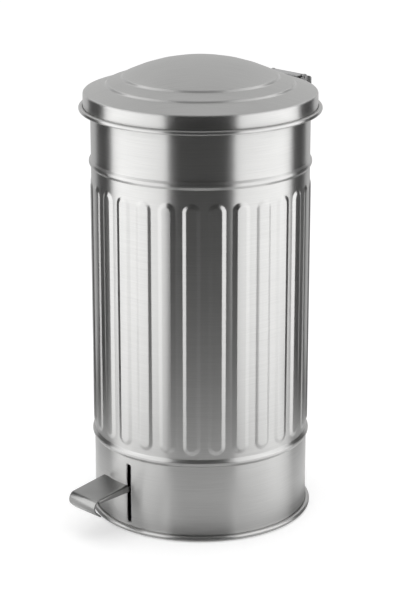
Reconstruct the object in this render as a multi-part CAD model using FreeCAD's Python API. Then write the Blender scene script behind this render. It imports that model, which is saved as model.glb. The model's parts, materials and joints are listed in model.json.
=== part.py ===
import FreeCAD, Part
import math
import os

Vec = FreeCAD.Vector
ORIGIN = Vec(0, 0, 0)
UP = Vec(0, 0, 1)
SIDE = Vec(1, 0, 0)
BACK = Vec(0, 1, 0)

# All sizes are in millimetres. The floor is z = 0, the bin's axis is the z axis,
# the pedal points to -y and the hinge of the lid is at +y.

# Outer shell, rolled from sheet
body_radius = 150.0
sheet = 0.8
rim_top = 581.0
rim_roll = 4.6
bead_depth = 2.8
bead_height = 11.0
bead_crown = 3.3
bead_corner = 2.6
lower_bead_z = 114.0
upper_bead_drop = 78.0

# Upright ribs pressed out of the shell
rib_count = 28
rib_phase = 2.2
rib_width = 25.5
rib_depth = 1.55
rib_slope = 6.8
rib_low_gap = 11.2
rib_high_gap = 23.0

# Slot in the shell for the pedal arm
slot_width = 6.4
slot_bottom = 14.0
slot_bead_gap = 15.5

# Base pan, its rolled hem and the ring it stands on
hem_reach = 6.2
hem_height = 7.6
hem_lift = 0.6
hem_gap = 1.0
pan_floor_z = 9.0
pan_side_gap = 1.2
pan_corner = 1.5
ring_inset = 12.0
ring_width = 16.0
ring_edge = 1.2

# Inner floor, its edge held in the groove behind the lower bead
floor_sheet = 1.0
floor_edge_gap = 0.4
panel_rise = 2.0
panel_corner = 2.0

# Lid, drawn from sheet
lid_overhang = 10.0
lid_bead_reach = 6.0
lid_bead_height = 6.2
lid_overlap = 7.5
skirt_height = 25.3
lid_corner = 3.5
outer_step_inset = 33.0
outer_step_rise = 12.5
inner_step_inset = 22.0
inner_step_rise = 9.1
step_drop = 3.2
step_run = 3.0
step_corner = 5.0
dome_rise = 23.7

# Rubber bumpers under the lid
bumper_count = 3
bumper_spread = 75.0
bumper_diameter = 7.0
bumper_gap = 0.3

# Hinge of the lid
hinge_gap = 9.0
hinge_drop = 3.0
hinge_pin_diameter = 5.0
pin_fit = 0.05
tongue_width = 56.0
tongue_sheet = 1.6
tongue_pad_length = 21.0
tongue_bend = 1.6
cheek_gap = 0.6
cheek_reach = 7.5
cheek_margin = 2.2
bracket_sheet = 1.6
bracket_bend = 3.0
back_plate_width = 70.0
back_plate_gap = 8.0
back_plate_rise = 0.8
back_plate_corner = 3.0
shelf_drop = 25.0
flange_height = 38.0
flange_rivet_inset = 4.0
flange_rivet_margin = 9.0

# Pedal: a tread with a rolled nose and an arm folded down at its right edge
arm_x = 12.0
pedal_width = 51.5
pedal_sheet = 2.0
pedal_top_z = 69.5
pedal_tilt = 7.6
pedal_reach = 57.0
pedal_shell_gap = 3.5
nose_radius = 10.5
nose_turn = 130.0
nose_lip = 11.0
fold_radius = 2.0
arm_height = 11.0
arm_nose_height = 5.0
arm_inner_length = 62.0

# Lever bar behind the arm, and the pin it turns on
lever_sheet = 3.0
lever_height = 13.0
lever_overlap = 48.0
lever_rivet_margin = 14.0
lever_front_bend = 12.0
lever_pivot_bend = 30.0
lever_boss_margin = 3.0
pivot_inset = 90.0
pivot_z = 58.0
pivot_pin_diameter = 6.0
bush_wall = 1.6
bush_flange = 2.4
bush_flange_sheet = 1.2
tail_angle = 6.7
tail_bar_diameter = 7.0

# Bracket on the base pan that carries the pivot pin
bracket_cheek_sheet = 2.0
bracket_cheek_width = 26.0
bracket_foot = 15.0
bracket_side_gap = 0.4
bracket_edge = 6.0

# Push rod between the lever and the lid
rod_inset = 11.0
rod_diameter = 6.0
rod_play = 0.3
foot_gap = 0.4
foot_diameter = 13.0
foot_height = 14.0
cap_wall = 1.5
cap_depth = 12.0
tip_gap = 0.6

# Guide on the collar and grommet in the inner floor, both for the rod
guide_lift = 11.0
guide_height = 16.0
guide_width = 36.0
guide_wall = 2.2
guide_flange = 3.0
guide_rivet_angle = 5.0
grommet_wall = 2.0
grommet_flange = 2.0
grommet_lip = 1.2

# Striker under the lid, which the rod lifts
lid_travel = 66.0
striker_width = 18.0
striker_sheet = 1.6
striker_bend = 2.0
striker_shell_gap = 1.8

# Inner bucket
bucket_wall = 2.0
bucket_gap = 22.0
bucket_rim_reach = 4.0
bucket_taper = 12.0
bucket_corner = 6.0
bucket_rim_height = 6.0
bucket_rim_corner = 1.6
bucket_rise = 12.0

# Bail of the bucket, with its ears and rests
bail_drop = 30.0
bail_gap = 8.0
bail_wire = 5.0
bail_play = 0.35
ear_diameter = 13.0
ear_gap = 1.5
grip_diameter = 11.0
grip_angle = 42.0
grip_fit = 0.05
rest_width = 9.0
rest_height = 9.0
rest_angle = 42.0

# Rivets and clips
rivet_shank = 4.0
rivet_head = 7.5
rivet_head_height = 1.6
clip_sheet = 1.0
clip_margin = 2.2

# Share of a half width that a corner takes where a sheet edge is rolled nearly round
roll_share = 0.98


# Bent sheets and plain solids

def rounded_path(points, shift):
    """Lines and arcs beside a path of (u, v, corner radius), shifted to its left."""
    pieces = []
    cursor = None
    before = None
    for i, (u, v, radius) in enumerate(points):
        if i < len(points) - 1:
            run = (points[i + 1][0] - u, points[i + 1][1] - v)
            length = math.hypot(*run)
            after = (run[0] / length, run[1] / length)
        if i == 0:
            cursor = (u - after[1] * shift, v + after[0] * shift)
        elif i == len(points) - 1:
            pieces.append((cursor, (u - before[1] * shift, v + before[0] * shift)))
        else:
            cross = before[0] * after[1] - before[1] * after[0]
            dot = before[0] * after[0] + before[1] * after[1]
            turn = math.atan2(cross, dot)
            side = math.copysign(1, turn)
            reach = radius * math.tan(abs(turn) / 2)
            centre = (u - before[0] * reach - before[1] * radius * side,
                      v - before[1] * reach + before[0] * radius * side)
            own = (radius - side * shift) * side
            bisector = (before[1] + after[1], -before[0] - after[0])
            size = math.hypot(*bisector)
            spots = [(centre[0] + way[0] * own, centre[1] + way[1] * own)
                     for way in ((before[1], -before[0]),
                                 (bisector[0] / size, bisector[1] / size),
                                 (after[1], -after[0]))]
            if math.dist(cursor, spots[0]) > 1e-6:
                pieces.append((cursor, spots[0]))
            pieces.append(tuple(spots))
            cursor = spots[2]
        before = after
    return pieces


def edges_of(pieces, place):
    """Edges in space: a piece of two points is a line, one of three an arc."""
    result = []
    for piece in pieces:
        spots = [place(*p) for p in piece]
        curve = Part.LineSegment(*spots) if len(spots) == 2 else Part.Arc(*spots)
        result.append(curve.toShape())
    return result


def sheet_face(points, thickness, place):
    """Section of a bent sheet whose middle follows the path."""
    left = rounded_path(points, thickness / 2)
    right = rounded_path(points, -thickness / 2)
    caps = [(right[0][0], left[0][0]), (left[-1][-1], right[-1][-1])]
    edges = edges_of(left + right + caps, place)
    return Part.Face(Part.Wire(Part.__sortEdges__(edges)))


def on_radius(u, v):
    """Section plane of a turned piece: u is the radius, v the height."""
    return Vec(u, 0, v)


def at_x(x):
    """Upright plane across the bin: u is y, v is z."""
    return lambda u, v: Vec(x, u, v)


def at_y(y):
    """Upright plane facing the front: u is x, v is z."""
    return lambda u, v: Vec(u, y, v)


def turned_sheet(points, thickness):
    """A bent sheet turned around the bin's axis."""
    return sheet_face(points, thickness, on_radius).revolve(ORIGIN, UP, 360)


def folded_sheet(points, thickness, x, width):
    """A bent sheet with its section in y and z, running from x."""
    return sheet_face(points, thickness, at_x(x)).extrude(SIDE * width)


def rod(radius, length, base, axis=UP):
    """A round bar."""
    return Part.makeCylinder(radius, length, base, axis)


def tube(outer, inner, length, base, axis=UP):
    """A round bar with a hole along it."""
    return rod(outer, length, base, axis).cut(rod(inner, length, base, axis))


def block(x, y, z):
    """A box from its ranges in x, y and z."""
    size = [span[1] - span[0] for span in (x, y, z)]
    return Part.makeBox(*size, Vec(x[0], y[0], z[0]))


def plate(points, place, way):
    """A flat plate from a closed outline."""
    spots = [place(*p) for p in points]
    return Part.Face(Part.makePolygon(spots + spots[:1])).extrude(way)


def turned_by(shape, angle, centre=ORIGIN, axis=UP):
    """A copy of a shape, turned."""
    copy = shape.copy()
    copy.rotate(centre, axis, angle)
    return copy


def from_back(radius, angle, z):
    """A point by its radius, its angle from +y towards +x, and its height."""
    turn = math.radians(angle)
    return Vec(radius * math.sin(turn), radius * math.cos(turn), z)


def rivet(base, axis, grip):
    """A rivet whose first head lies on base and whose second lies a grip further on."""
    pieces = []
    for foot, way in ((base, axis * -1), (base + axis * grip, axis)):
        pieces.append(Part.makeCone(rivet_head / 2, rivet_head / 4, rivet_head_height, foot, way))
    return rod(rivet_shank / 2, grip, base, axis).fuse(pieces)


def rivet_hole(base, axis, grip):
    """The hole that a rivet fills, through the sheets it joins."""
    spare = rivet_head_height
    return rod(rivet_shank / 2, grip + 2 * spare, base - axis * spare, axis)


def save(shape, node):
    """Write one piece, or one group of like pieces, to its own file."""
    shape.removeSplitter().exportStep("parts/" + node + ".step")


os.makedirs("parts", exist_ok=True)

# Radii, heights and places that follow from the sizes above
body_inner = body_radius - sheet
body_mid = body_radius - sheet / 2
hem_radius = body_radius + hem_reach
ring_outer_radius = body_radius - ring_inset
upper_bead_z = rim_top - upper_bead_drop
rib_bottom = lower_bead_z + rib_low_gap
rib_top = upper_bead_z - rib_high_gap
slot_top = lower_bead_z - slot_bead_gap
lid_radius = body_radius + lid_overhang
lid_bead_radius = lid_radius + lid_bead_reach
lid_bead_z = rim_top - lid_overlap
lid_shoulder_z = lid_bead_z + skirt_height
outer_step_radius = lid_radius - outer_step_inset
outer_step_z = lid_shoulder_z + outer_step_rise
inner_step_radius = outer_step_radius - inner_step_inset
inner_step_z = outer_step_z + inner_step_rise
hinge_y = lid_bead_radius + hinge_gap
hinge_z = lid_shoulder_z - hinge_drop
back_plate_top = hinge_z + back_plate_rise
shelf_z = rim_top - shelf_drop
flange_bottom = shelf_z - flange_height
guide_z = flange_bottom + guide_lift
pivot_y = pivot_inset - body_radius
lever_x = arm_x - pedal_sheet - lever_sheet / 2
rod_y = body_radius - rod_inset
bucket_rim_radius = body_radius - bucket_gap
bucket_top_radius = bucket_rim_radius - bucket_rim_reach
bucket_bottom_radius = bucket_top_radius - bucket_taper
bucket_top_z = upper_bead_z + bucket_rise
panel_radius = bucket_bottom_radius - bucket_corner
rod_radius = rod_diameter / 2
rod_bore = rod_radius + rod_play
rod_angle = math.degrees(math.atan2(lever_x, rod_y))


# Outer shell

def bead(z):
    """Path of a half-round bead standing out of the wall."""
    out = body_mid + bead_depth
    return [(body_mid, z - bead_height / 2, bead_corner), (out, z - bead_crown / 2, bead_corner),
            (out, z + bead_crown / 2, bead_corner), (body_mid, z + bead_height / 2, bead_corner)]


def rib(inset):
    """One pressed rib at the front, moved towards the axis by an inset."""
    foot_half = rib_width / 2
    crest_half = foot_half - rib_slope
    foot_y = math.sqrt(body_radius ** 2 - foot_half ** 2)
    crest_y = math.sqrt((body_radius + rib_depth) ** 2 - crest_half ** 2)
    lean = rib_slope / (crest_y - foot_y)
    end_half = foot_half - (body_radius - foot_y) * lean
    low = rib_bottom + end_half
    high = rib_top - end_half
    sections = []
    for y in (foot_y - rib_depth, crest_y + rib_depth):
        half = foot_half - (y - foot_y) * lean
        here = at_y(inset - y)
        outline = [((-half, low), (0, low - half), (half, low)), ((half, low), (half, high)),
                   ((half, high), (0, high + half), (-half, high)), ((-half, high), (-half, low))]
        sections.append(Part.Wire(edges_of(outline, here)))
    skin = body_radius - inset
    ring = tube(skin + rib_depth, skin - sheet / 2, rib_top - rib_bottom, Vec(0, 0, rib_bottom))
    return Part.makeLoft(sections, True, True).common(ring)


shell_bottom = hem_lift + sheet
rim_mid = rim_top - sheet / 2
rim_low = rim_top - rim_roll + sheet / 2
rim_out = body_mid + rim_roll - sheet
rim_corner = (rim_roll - sheet) / 2 * roll_share
shell_path = [(body_mid, shell_bottom, 0)] + bead(lower_bead_z) + bead(upper_bead_z)
shell_path += [(body_mid, rim_mid, rim_corner), (rim_out, rim_mid, rim_corner),
               (rim_out, rim_low, rim_corner), (body_mid + sheet, rim_low, 0)]
outer_shell = turned_sheet(shell_path, sheet)
rib_turns = [rib_phase + i * 360 / rib_count for i in range(rib_count)]
raised = rib(0)
hollow = rib(sheet)
outer_shell = outer_shell.fuse([turned_by(raised, turn) for turn in rib_turns])
outer_shell = outer_shell.cut([turned_by(hollow, turn) for turn in rib_turns])
slot_x = arm_x - pedal_sheet / 2
slot_half = slot_width / 2
slot_ends = (slot_bottom + slot_half, slot_top - slot_half)
slot = block((slot_x - slot_half, slot_x + slot_half), (-hem_radius, 0), slot_ends)
slot = slot.fuse([rod(slot_half, hem_radius, Vec(slot_x, -hem_radius, z), BACK) for z in slot_ends])
outer_shell = outer_shell.cut(slot)

# Base pan, whose rolled hem takes the lower edge of the shell
pan_mid = pan_floor_z - sheet / 2
pan_wall = body_inner - pan_side_gap - sheet / 2
hem_mid = hem_radius - sheet / 2
hem_low = hem_lift + sheet / 2
hem_high = hem_lift + hem_height - sheet / 2
hem_corner = (hem_height - sheet) / 2 * roll_share
base_pan = turned_sheet([(0, pan_mid, 0), (pan_wall, pan_mid, pan_corner), (pan_wall, hem_low, sheet),
                         (hem_mid, hem_low, hem_corner), (hem_mid, hem_high, hem_corner),
                         (body_radius + hem_gap, hem_high, 0)], sheet)

# Standing ring, pressed up against the pan
ring_inner_radius = ring_outer_radius - ring_width
ring_section = [(ring_inner_radius + ring_edge, 0), (ring_outer_radius - ring_edge, 0),
                (ring_outer_radius, ring_edge), (ring_outer_radius, pan_floor_z - sheet),
                (ring_inner_radius, pan_floor_z - sheet), (ring_inner_radius, ring_edge)]
ring_wire = Part.makePolygon([on_radius(*p) for p in ring_section + ring_section[:1]])
floor_ring = Part.Face(ring_wire).revolve(ORIGIN, UP, 360)

# Inner floor with a raised panel, and the grommet in its hole
panel_z = lower_bead_z + panel_rise
floor_edge = body_inner + bead_depth - floor_edge_gap
inner_floor = turned_sheet([(0, panel_z, 0), (panel_radius, panel_z, panel_corner),
                            (panel_radius + 2 * panel_rise, lower_bead_z, panel_corner),
                            (floor_edge, lower_bead_z, 0)], floor_sheet)
grommet_radius = rod_bore + grommet_wall
floor_under = lower_bead_z - floor_sheet / 2
inner_floor = inner_floor.cut(rod(grommet_radius, floor_sheet, Vec(lever_x, rod_y, floor_under)))
rod_grommet = tube(grommet_radius, rod_bore, floor_sheet, Vec(lever_x, rod_y, floor_under))
for z in (floor_under - grommet_lip, floor_under + floor_sheet):
    lip = tube(grommet_radius + grommet_flange, rod_bore, grommet_lip, Vec(lever_x, rod_y, z))
    rod_grommet = rod_grommet.fuse(lip)

# Lid: dome, two steps, sloping shoulder, skirt and rolled bead
dome_radius = (inner_step_radius ** 2 + dome_rise ** 2) / (2 * dome_rise)
dome_half_angle = math.asin(inner_step_radius / dome_radius) / 2
dome_corner = dome_radius * math.tan(dome_half_angle)
apex_z = inner_step_z + dome_rise
skirt_mid = lid_radius - sheet / 2
lid_bead_mid = lid_bead_radius - sheet / 2
lid_bead_low = lid_bead_z + sheet / 2
lid_bead_high = lid_bead_z + lid_bead_height - sheet / 2
lid_bead_corner = min(lid_bead_mid - skirt_mid, lid_bead_height - sheet) / 2 * roll_share
step_edge = inner_step_radius + step_run
shoulder_start = outer_step_radius + step_run
shoulder_start_z = outer_step_z - step_drop
lid_points = [(0, apex_z, 0), (dome_corner, apex_z, dome_radius * roll_share),
              (inner_step_radius, inner_step_z, step_corner),
              (step_edge, inner_step_z - step_drop, step_corner),
              (outer_step_radius, outer_step_z, step_corner),
              (shoulder_start, shoulder_start_z, step_corner), (skirt_mid, lid_shoulder_z, lid_corner)]
lid_path = [(u, v - sheet / 2, corner) for u, v, corner in lid_points]
lid_path += [(skirt_mid, lid_bead_low, lid_bead_corner), (lid_bead_mid, lid_bead_low, lid_bead_corner),
             (lid_bead_mid, lid_bead_high, lid_bead_corner), (lid_radius + sheet, lid_bead_high, 0)]
lid_shell = turned_sheet(lid_path, sheet)
shoulder_slope = (shoulder_start_z - lid_shoulder_z) / (skirt_mid - shoulder_start)
shoulder_stretch = math.hypot(1, shoulder_slope)


def shoulder_z(radius, beside):
    """Height of a sheet that lies on the shoulder, or under it where beside is negative."""
    middle = lid_shoulder_z - sheet / 2 + (skirt_mid - radius) * shoulder_slope
    return middle + math.copysign((sheet + abs(beside)) / 2 * shoulder_stretch, beside)


# Bumpers between the shoulder and the rolled rim of the shell
bumper_radius = (body_mid + rim_out) / 2
bumper_low = rim_top + bumper_gap
lid_bumpers = []
for i in range(bumper_count):
    turn = 180 + bumper_spread * (i - (bumper_count - 1) / 2)
    post = rod(bumper_diameter / 2, apex_z - bumper_low, from_back(bumper_radius, turn, bumper_low))
    lid_bumpers.append(min(post.cut(lid_shell).Solids, key=lambda s: s.BoundBox.ZMin))

# Hinge bracket: flange on the shell, shelf, back plate and two cheeks
half_plate = back_plate_width / 2
back_plate_y = hinge_y + back_plate_gap
back_mid = back_plate_y + bracket_sheet / 2
shelf_mid = shelf_z + bracket_sheet / 2
shelf_top = shelf_z + bracket_sheet
hinge_bracket = folded_sheet([(body_mid - bracket_bend, shelf_mid, 0), (back_mid, shelf_mid, bracket_bend),
                              (back_mid, back_plate_top, 0)], bracket_sheet, -half_plate, back_plate_width)
corner_z = back_plate_top - back_plate_corner
corner_y = (back_plate_y - bracket_sheet, back_plate_y + 2 * bracket_sheet)
for side in (-1, 1):
    corner_x = side * (half_plate - back_plate_corner)
    spans = sorted((corner_x, side * back_plate_width))
    square = block(spans, corner_y, (corner_z, 2 * back_plate_top))
    round_end = rod(back_plate_corner, corner_y[1] - corner_y[0], Vec(corner_x, corner_y[0], corner_z), BACK)
    hinge_bracket = hinge_bracket.cut(square.cut(round_end))
flange = tube(body_radius + bracket_sheet, body_radius, shelf_top - flange_bottom, Vec(0, 0, flange_bottom))
flange = flange.common(block((-half_plate, half_plate), (0, hem_radius), (flange_bottom, shelf_top)))
hinge_bracket = hinge_bracket.cut(rod(body_radius, shelf_top, ORIGIN)).fuse(flange)
hinge_bore = hinge_pin_diameter / 2 + pin_fit
cheek_inner = tongue_width / 2 + cheek_gap
cheek_outer = cheek_inner + bracket_sheet
cheek_eye = hinge_pin_diameter / 2 + cheek_margin
for side in (-1, 1):
    span = sorted((side * cheek_inner, side * cheek_outer))
    cheek = block(span, (hinge_y - cheek_reach, back_mid), (shelf_mid, back_plate_top))
    eye = rod(cheek_eye, bracket_sheet, Vec(span[0], hinge_y, hinge_z), SIDE)
    hinge_bracket = hinge_bracket.fuse([cheek, eye])
hinge_bracket = hinge_bracket.cut(rod(hinge_bore, back_plate_width, Vec(-half_plate, hinge_y, hinge_z), SIDE))

# Hinge pin with its head, and the clip on its other end
hinge_pin_radius = hinge_pin_diameter / 2
hinge_head = Vec(-cheek_outer - clip_sheet, hinge_y, hinge_z)
hinge_pin = rod(hinge_pin_radius, 2 * cheek_outer + 2 * clip_sheet + clip_margin, hinge_head, SIDE)
hinge_pin = hinge_pin.fuse(rod(hinge_pin_radius + clip_margin, clip_sheet, hinge_head, SIDE))
hinge_pin_clip = tube(hinge_pin_radius + clip_margin, hinge_pin_radius, clip_sheet,
                      Vec(cheek_outer, hinge_y, hinge_z), SIDE)

# Tongue of the lid: a pad on the shoulder, and a strip that rolls round the pin
half_tongue = tongue_width / 2
pad_outer = skirt_mid - lid_corner / 2
pad_inner = pad_outer - tongue_pad_length
pad_edge = (pad_outer, shoulder_z(pad_outer, tongue_sheet))
pad_turn = math.degrees(math.asin(half_tongue / pad_inner))
pad_path = [(pad_inner, shoulder_z(pad_inner, tongue_sheet), 0), pad_edge + (0,)]
pad = sheet_face(pad_path, tongue_sheet, on_radius)
pad = turned_by(pad.revolve(ORIGIN, UP, 2 * pad_turn), 90 - pad_turn)
pad = pad.common(block((-half_tongue, half_tongue), (0, hinge_y), (0, apex_z)))
strip_z = hinge_z + hinge_bore + tongue_sheet / 2
strip = folded_sheet([(pad_outer - lid_corner, shoulder_z(pad_outer - lid_corner, tongue_sheet), 0),
                      pad_edge + (tongue_bend,), (lid_radius + tongue_sheet, strip_z, tongue_bend),
                      (hinge_y, strip_z, 0)], tongue_sheet, -half_tongue, tongue_width)
knuckle_end = Vec(-half_tongue, hinge_y, hinge_z)
knuckle = rod(hinge_bore + tongue_sheet, tongue_width, knuckle_end, SIDE)
hinge_tongue = pad.fuse([strip, knuckle]).cut([rod(hinge_bore, tongue_width, knuckle_end, SIDE), lid_shell])

# Pedal, folded from one sheet
tread_left = arm_x - pedal_width
tread_mid = pedal_top_z - pedal_sheet / 2
arm_mid_x = arm_x - pedal_sheet / 2
arm_low = pedal_top_z - arm_height
nose_y = -body_radius - pedal_reach
nose_mid = nose_radius - pedal_sheet / 2
nose_bend = nose_mid * math.tan(math.radians(nose_turn / 2))
nose_corner = nose_y - nose_bend
lip_length = nose_bend + nose_lip
lip_y = nose_corner - lip_length * math.cos(math.radians(nose_turn))
lip_z = tread_mid - lip_length * math.sin(math.radians(nose_turn))
tread_gap_radius = body_radius + pedal_shell_gap
tread_path = [(tread_left, tread_mid, 0), (arm_mid_x, tread_mid, fold_radius), (arm_mid_x, arm_low, 0)]
pedal_tread = sheet_face(tread_path, pedal_sheet, at_y(nose_y)).extrude(BACK * pedal_reach)
pedal_tread = pedal_tread.cut(rod(tread_gap_radius, 2 * pedal_top_z, ORIGIN))
nose = folded_sheet([(nose_y + pedal_sheet, tread_mid, 0), (nose_corner, tread_mid, nose_mid),
                     (lip_y, lip_z, 0)], pedal_sheet, tread_left, pedal_width)
arm_end = arm_inner_length - body_radius
arm = block((arm_x - pedal_sheet, arm_x), (-tread_gap_radius - pedal_sheet, arm_end),
            (arm_low, pedal_top_z - fold_radius - pedal_sheet / 2))
taper = plate([(-tread_gap_radius, arm_low), (nose_y, pedal_top_z - arm_nose_height), (nose_y, arm_low)],
              at_x(arm_x - 2 * pedal_sheet), SIDE * 3 * pedal_sheet)
pedal_tread = pedal_tread.fuse([nose, arm]).cut(taper)
pedal_tread = turned_by(pedal_tread, pedal_tilt, Vec(0, -body_radius, pedal_top_z), SIDE)


def arm_z(y):
    """Height of the middle of the arm inside the shell."""
    return pedal_top_z - arm_height / 2 + (y + body_radius) * math.tan(math.radians(pedal_tilt))


# Lever bar from the arm over the pivot to the cross bar under the push rod
bar_left = lever_x - lever_sheet / 2
bar_front = arm_end - lever_overlap
tail_z = pivot_z - (rod_y - pivot_y) * math.tan(math.radians(tail_angle))
cross_bar_z = tail_z + lever_height / 2
lever_bar = folded_sheet([(bar_front, arm_z(bar_front), 0), (arm_end, arm_z(arm_end), lever_front_bend),
                          (pivot_y, pivot_z, lever_pivot_bend), (rod_y, tail_z, 0)],
                         lever_height, bar_left, lever_sheet)
boss = rod(lever_height / 2 + lever_boss_margin, lever_sheet, Vec(bar_left, pivot_y, pivot_z), SIDE)
tail = rod(lever_height / 2, lever_sheet, Vec(bar_left, rod_y, tail_z), SIDE)
cross_bar_end = Vec(lever_x - foot_diameter / 2, rod_y, cross_bar_z)
cross_bar = rod(tail_bar_diameter / 2, foot_diameter, cross_bar_end, SIDE)
bush_bore = pivot_pin_diameter / 2 + pin_fit
bush_outer = bush_bore + bush_wall
bush_seat = rod(bush_outer, lever_sheet, Vec(bar_left, pivot_y, pivot_z), SIDE)
lever_bar = lever_bar.fuse([boss, tail, cross_bar]).cut(bush_seat)

# Rivets that join the arm and the bar
lever_rivets = []
for y in (bar_front + lever_rivet_margin, arm_end - lever_rivet_margin):
    spot = Vec(bar_left, y, arm_z(y))
    lever_rivets.append(rivet(spot, SIDE, lever_sheet + pedal_sheet))
    hole = rivet_hole(spot, SIDE, lever_sheet + pedal_sheet)
    pedal_tread = pedal_tread.cut(hole)
    lever_bar = lever_bar.cut(hole)

# Bush in the lever
pivot_bush = tube(bush_outer, bush_bore, lever_sheet, Vec(bar_left, pivot_y, pivot_z), SIDE)
for x in (bar_left - bush_flange_sheet, bar_left + lever_sheet):
    collar = tube(bush_outer + bush_flange, bush_bore, bush_flange_sheet, Vec(x, pivot_y, pivot_z), SIDE)
    pivot_bush = pivot_bush.fuse(collar)

# Pivot bracket, folded from one strip and riveted to the pan
inner_half = lever_sheet / 2 + bush_flange_sheet + bracket_side_gap
outer_half = inner_half + bracket_cheek_sheet
cheek_mid = inner_half + bracket_cheek_sheet / 2
bracket_mid_z = pan_floor_z + bracket_cheek_sheet / 2
bracket_high = pivot_z + bracket_cheek_width / 2 - bracket_edge
bracket_y = pivot_y - bracket_cheek_width / 2
bracket_end = bracket_y + bracket_cheek_width
pivot_bracket = block((lever_x - cheek_mid, lever_x + cheek_mid), (bracket_y, bracket_end),
                      (pan_floor_z, pan_floor_z + bracket_cheek_sheet))
for side in (-1, 1):
    fold_x = lever_x + side * cheek_mid
    cheek_path = [(fold_x, bracket_high, 0), (fold_x, bracket_mid_z, bracket_cheek_sheet),
                  (fold_x + side * bracket_foot, bracket_mid_z, 0)]
    cheek = sheet_face(cheek_path, bracket_cheek_sheet, at_y(bracket_y))
    pivot_bracket = pivot_bracket.fuse(cheek.extrude(BACK * bracket_cheek_width))
pin_hole = rod(bush_bore, 2 * outer_half, Vec(lever_x - outer_half, pivot_y, pivot_z), SIDE)
pivot_bracket = pivot_bracket.cut(pin_hole)
pivot_bracket_rivets = []
for side in (-1, 1):
    for y in (bracket_y + bracket_edge, bracket_end - bracket_edge):
        spot = Vec(lever_x + side * (outer_half + bracket_foot / 2), y, pan_floor_z - sheet)
        pivot_bracket_rivets.append(rivet(spot, UP, sheet + bracket_cheek_sheet))
        hole = rivet_hole(spot, UP, sheet + bracket_cheek_sheet)
        base_pan = base_pan.cut(hole)
        pivot_bracket = pivot_bracket.cut(hole)

# Pivot pin with its head, and its clip
pivot_radius = pivot_pin_diameter / 2
pivot_head = Vec(lever_x - outer_half - clip_margin, pivot_y, pivot_z)
pivot_pin = rod(pivot_radius, 2 * outer_half + 2 * clip_margin + clip_sheet, pivot_head, SIDE)
pivot_pin = pivot_pin.fuse(rod(pivot_radius + clip_margin, clip_margin, pivot_head, SIDE))
pivot_pin_clip = tube(pivot_radius + clip_margin, pivot_radius, clip_sheet,
                      Vec(lever_x + outer_half, pivot_y, pivot_z), SIDE)

# Push rod, its foot on the cross bar and its round tip under the striker
half_travel = math.radians(lid_travel / 2)
rod_arm = hinge_y - rod_y
tip_radius = rod_radius + cap_wall
striker_under = (striker_sheet / 2 + tip_radius) / math.cos(half_travel)
tip_z = hinge_z - rod_arm * math.tan(half_travel) - striker_under - tip_gap
foot_low = cross_bar_z + tail_bar_diameter / 2 + foot_gap
rod_low = foot_low + foot_height - cap_depth
push_rod = rod(rod_radius, tip_z - rod_low, Vec(lever_x, rod_y, rod_low))
rod_foot = rod(foot_diameter / 2, foot_height, Vec(lever_x, rod_y, foot_low)).cut(push_rod)
rod_tip = rod(tip_radius, cap_depth, Vec(lever_x, rod_y, tip_z - cap_depth))
rod_tip = rod_tip.fuse(Part.makeSphere(tip_radius, Vec(lever_x, rod_y, tip_z))).cut(push_rod)

# Rod guide inside the collar, riveted through the shell and the flange of the bracket
guide_base = Vec(0, 0, guide_z)
guide_span = (guide_z, guide_z + guide_height)
boss_radius = rod_bore + guide_wall
rod_guide = tube(body_inner, body_inner - guide_flange, guide_height, guide_base)
rod_guide = rod_guide.common(block((lever_x - guide_width / 2, lever_x + guide_width / 2),
                                   (0, body_radius), guide_span))
web = block((lever_x - boss_radius, lever_x + boss_radius), (rod_y, body_radius), guide_span)
rod_guide = rod_guide.fuse([web.common(rod(body_inner, guide_height, guide_base)),
                            rod(boss_radius, guide_height, Vec(lever_x, rod_y, guide_z))])
rod_guide = rod_guide.cut(rod(rod_bore, guide_height, Vec(lever_x, rod_y, guide_z)))

# Rivets at the hinge: two hold the guide as well, four only the bracket
guide_mid_z = guide_z + guide_height / 2
collar_pack = tube(body_radius + bracket_sheet, body_inner, shelf_z - flange_bottom, Vec(0, 0, flange_bottom))
guide_pack = collar_pack.fuse(rod_guide)
guide_rivets = []
bracket_rivets = []
flange_angle = math.degrees(math.asin((half_plate - flange_rivet_inset) / body_radius))
rivet_places = [(rod_angle + side * guide_rivet_angle, guide_mid_z, guide_flange) for side in (-1, 1)]
for side in (-1, 1):
    for z in (flange_bottom + flange_rivet_margin, shelf_z - flange_rivet_margin):
        rivet_places.append((side * flange_angle, z, 0))
for angle, z, extra in rivet_places:
    axis = from_back(1, angle, 0)
    grip = extra + sheet + bracket_sheet
    spot = from_back(body_inner - extra, angle, z)
    hole = rivet_hole(spot, axis, grip)
    outer_shell = outer_shell.cut(hole)
    hinge_bracket = hinge_bracket.cut(hole)
    rod_guide = rod_guide.cut(hole)
    whole = rivet(spot, axis, grip).cut(guide_pack.cut(hole))
    if extra:
        guide_rivets.append(whole)
    else:
        bracket_rivets.append(whole)

# Striker, folded from strip and welded under the shoulder of the lid
striker_right = lever_x + striker_width / 2
striker_back = math.sqrt(body_inner ** 2 - striker_right ** 2) - striker_shell_gap
striker_front = rod_y - tip_radius - striker_sheet * math.cos(half_travel)


def ramp_z(y):
    """Height of the ramp, which lies in a plane through the hinge axis."""
    return hinge_z - (hinge_y - y) * math.tan(half_travel)


striker_path = [(striker_back, ramp_z(striker_back), 0), (striker_front, ramp_z(striker_front), striker_bend),
                (striker_front, shoulder_z(striker_front, -striker_sheet), striker_bend),
                (striker_back, shoulder_z(striker_back, -striker_sheet), 0)]
lid_striker = folded_sheet(striker_path, striker_sheet, lever_x - striker_width / 2, striker_width)
lid_striker = lid_striker.cut(lid_shell)

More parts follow.
